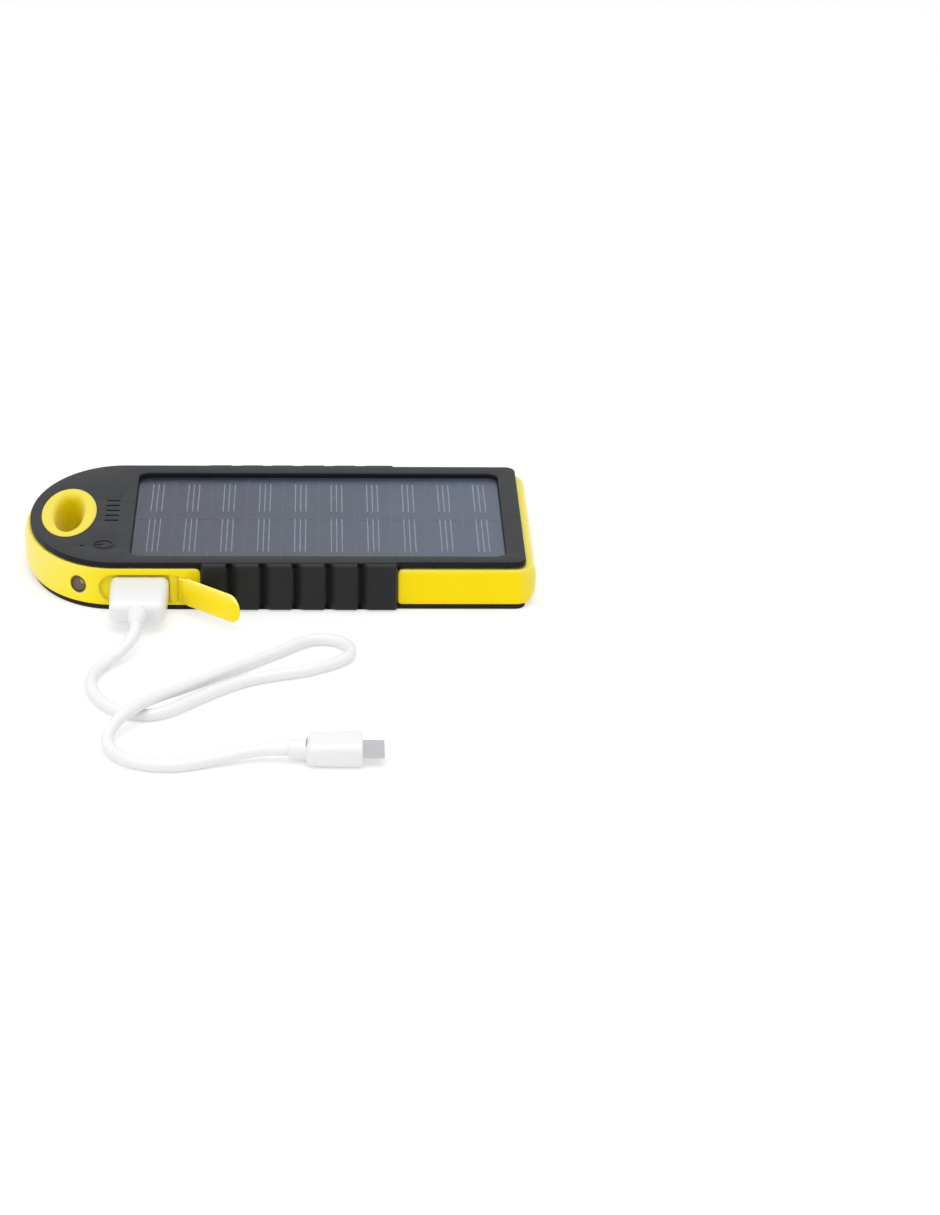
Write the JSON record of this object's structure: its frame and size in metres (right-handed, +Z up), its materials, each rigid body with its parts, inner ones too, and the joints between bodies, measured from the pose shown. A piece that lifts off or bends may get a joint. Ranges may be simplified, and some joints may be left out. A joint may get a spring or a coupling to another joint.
{
  "type": "solar phone charger",
  "caption": "Rugged pocket solar power bank with a lanyard eye, lidded ports, a torch and a white charging cable plugged into its side.",
  "frame": {"origin": "middle of the base face that the charger rests on", "axes": "+X along the charger towards its square tail, -Y towards the open front port, +Z up through the solar panel"},
  "size_m": [0.142, 0.1743, 0.0143],
  "materials": {
    "top_plate": "satin charcoal plastic, fine spark texture",
    "base_plate": "black fine spark texture",
    "seal_rubber": "black soft rubber",
    "screw_steel": "zinc plated",
    "bumper_yellow": "satin yellow rubber",
    "grip_rubber": "black rubber, faint sheen",
    "eye_yellow": "satin yellow rubber",
    "flap_yellow": "satin yellow rubber",
    "adhesive": "white foam tape",
    "panel_board": "dark laminate",
    "solar_cell": "grey-blue silicon",
    "silver_line": "fired silver paste",
    "panel_cover": "clear glossy resin",
    "button_plastic": "satin charcoal plastic",
    "plunger_plastic": "red plastic",
    "black_plastic": "black moulded plastic",
    "blue_lens": "dark blue tinted lens",
    "lamp_chip": "lamp with yellow phosphor",
    "reflector_chrome": "metallised cup",
    "clear_lens": "clear plastic",
    "board_green": "green solder resist",
    "socket_steel": "nickel plated sheet",
    "white_plastic": "white moulded plastic",
    "choke_ferrite": "dark ferrite",
    "can_aluminium": "sleeveless can",
    "battery_foil": "silver pouch foil",
    "pad_foam": "black foam",
    "wire_red": "red insulation",
    "plug_steel": "nickel plated sheet",
    "plug_white": "white overmoulding",
    "cable_white": "white soft jacket"
  },
  "bodies": {
    "case": {"bottom_shell": "base_plate", "top_shell": "top_plate", "case_seal": "seal_rubber", "case_screws": "screw_steel", "nose_bumper": "bumper_yellow", "tail_bumper": "bumper_yellow", "side_grip_front": "grip_rubber", "side_grip_rear": "grip_rubber", "lanyard_eye": "eye_yellow", "panel_adhesive": "adhesive", "panel_board": "panel_board", "solar_cells": "solar_cell", "cell_lines": "silver_line", "panel_cover": "panel_cover", "tact_switch": "black_plastic", "indicator_lens": "blue_lens", "light_guide": "black_plastic", "indicator_leds": "lamp_chip", "charge_lens": "blue_lens", "torch_reflector": "reflector_chrome", "torch_lens": "clear_lens", "torch_led": "lamp_chip", "main_board": "board_green", "board_screws": "screw_steel", "front_usb_shell": "socket_steel", "front_usb_tongue": "white_plastic", "rear_usb_shell": "socket_steel", "rear_usb_tongue": "white_plastic", "micro_usb_shell": "socket_steel", "micro_usb_tongue": "black_plastic", "control_chips": "black_plastic", "choke": "choke_ferrite", "capacitors": "can_aluminium", "battery_pack": "battery_foil", "battery_pad": "pad_foam", "battery_leads": "wire_red", "panel_leads": "wire_red"},
    "button": {"power_button": "button_plastic", "switch_plunger": "plunger_plastic"},
    "front_lid": {"front_flap": "flap_yellow"},
    "rear_lid": {"rear_flap": "flap_yellow"},
    "charging_cable": {"plug_shell": "plug_steel", "plug_insulator": "white_plastic", "plug_grip": "plug_white", "plug_relief": "cable_white", "cable": "cable_white", "micro_relief": "cable_white", "micro_grip": "plug_white", "micro_shell": "plug_steel"}
  },
  "joints": [
    {"name": "button_press", "type": "slide", "parent": "case", "child": "button", "axis": [0, 0, -1], "range_m": [0, 0.0004], "stiffness_N_per_m": 3000, "springref_m": -0.0001},
    {"name": "front_lid_hinge", "type": "hinge", "parent": "case", "child": "front_lid", "pos_m": [-0.026, -0.0362, 0.006], "axis": [0, 0, 1], "range_deg": [-45, 12]},
    {"name": "rear_lid_hinge", "type": "hinge", "parent": "case", "child": "rear_lid", "pos_m": [-0.0225, 0.0362, 0.006], "axis": [0, 0, -1], "range_deg": [0, 150]},
    {"name": "plug_pull", "type": "slide", "parent": "case", "child": "charging_cable", "axis": [0, -1, 0], "range_m": [0, 0.02]}
  ]
}
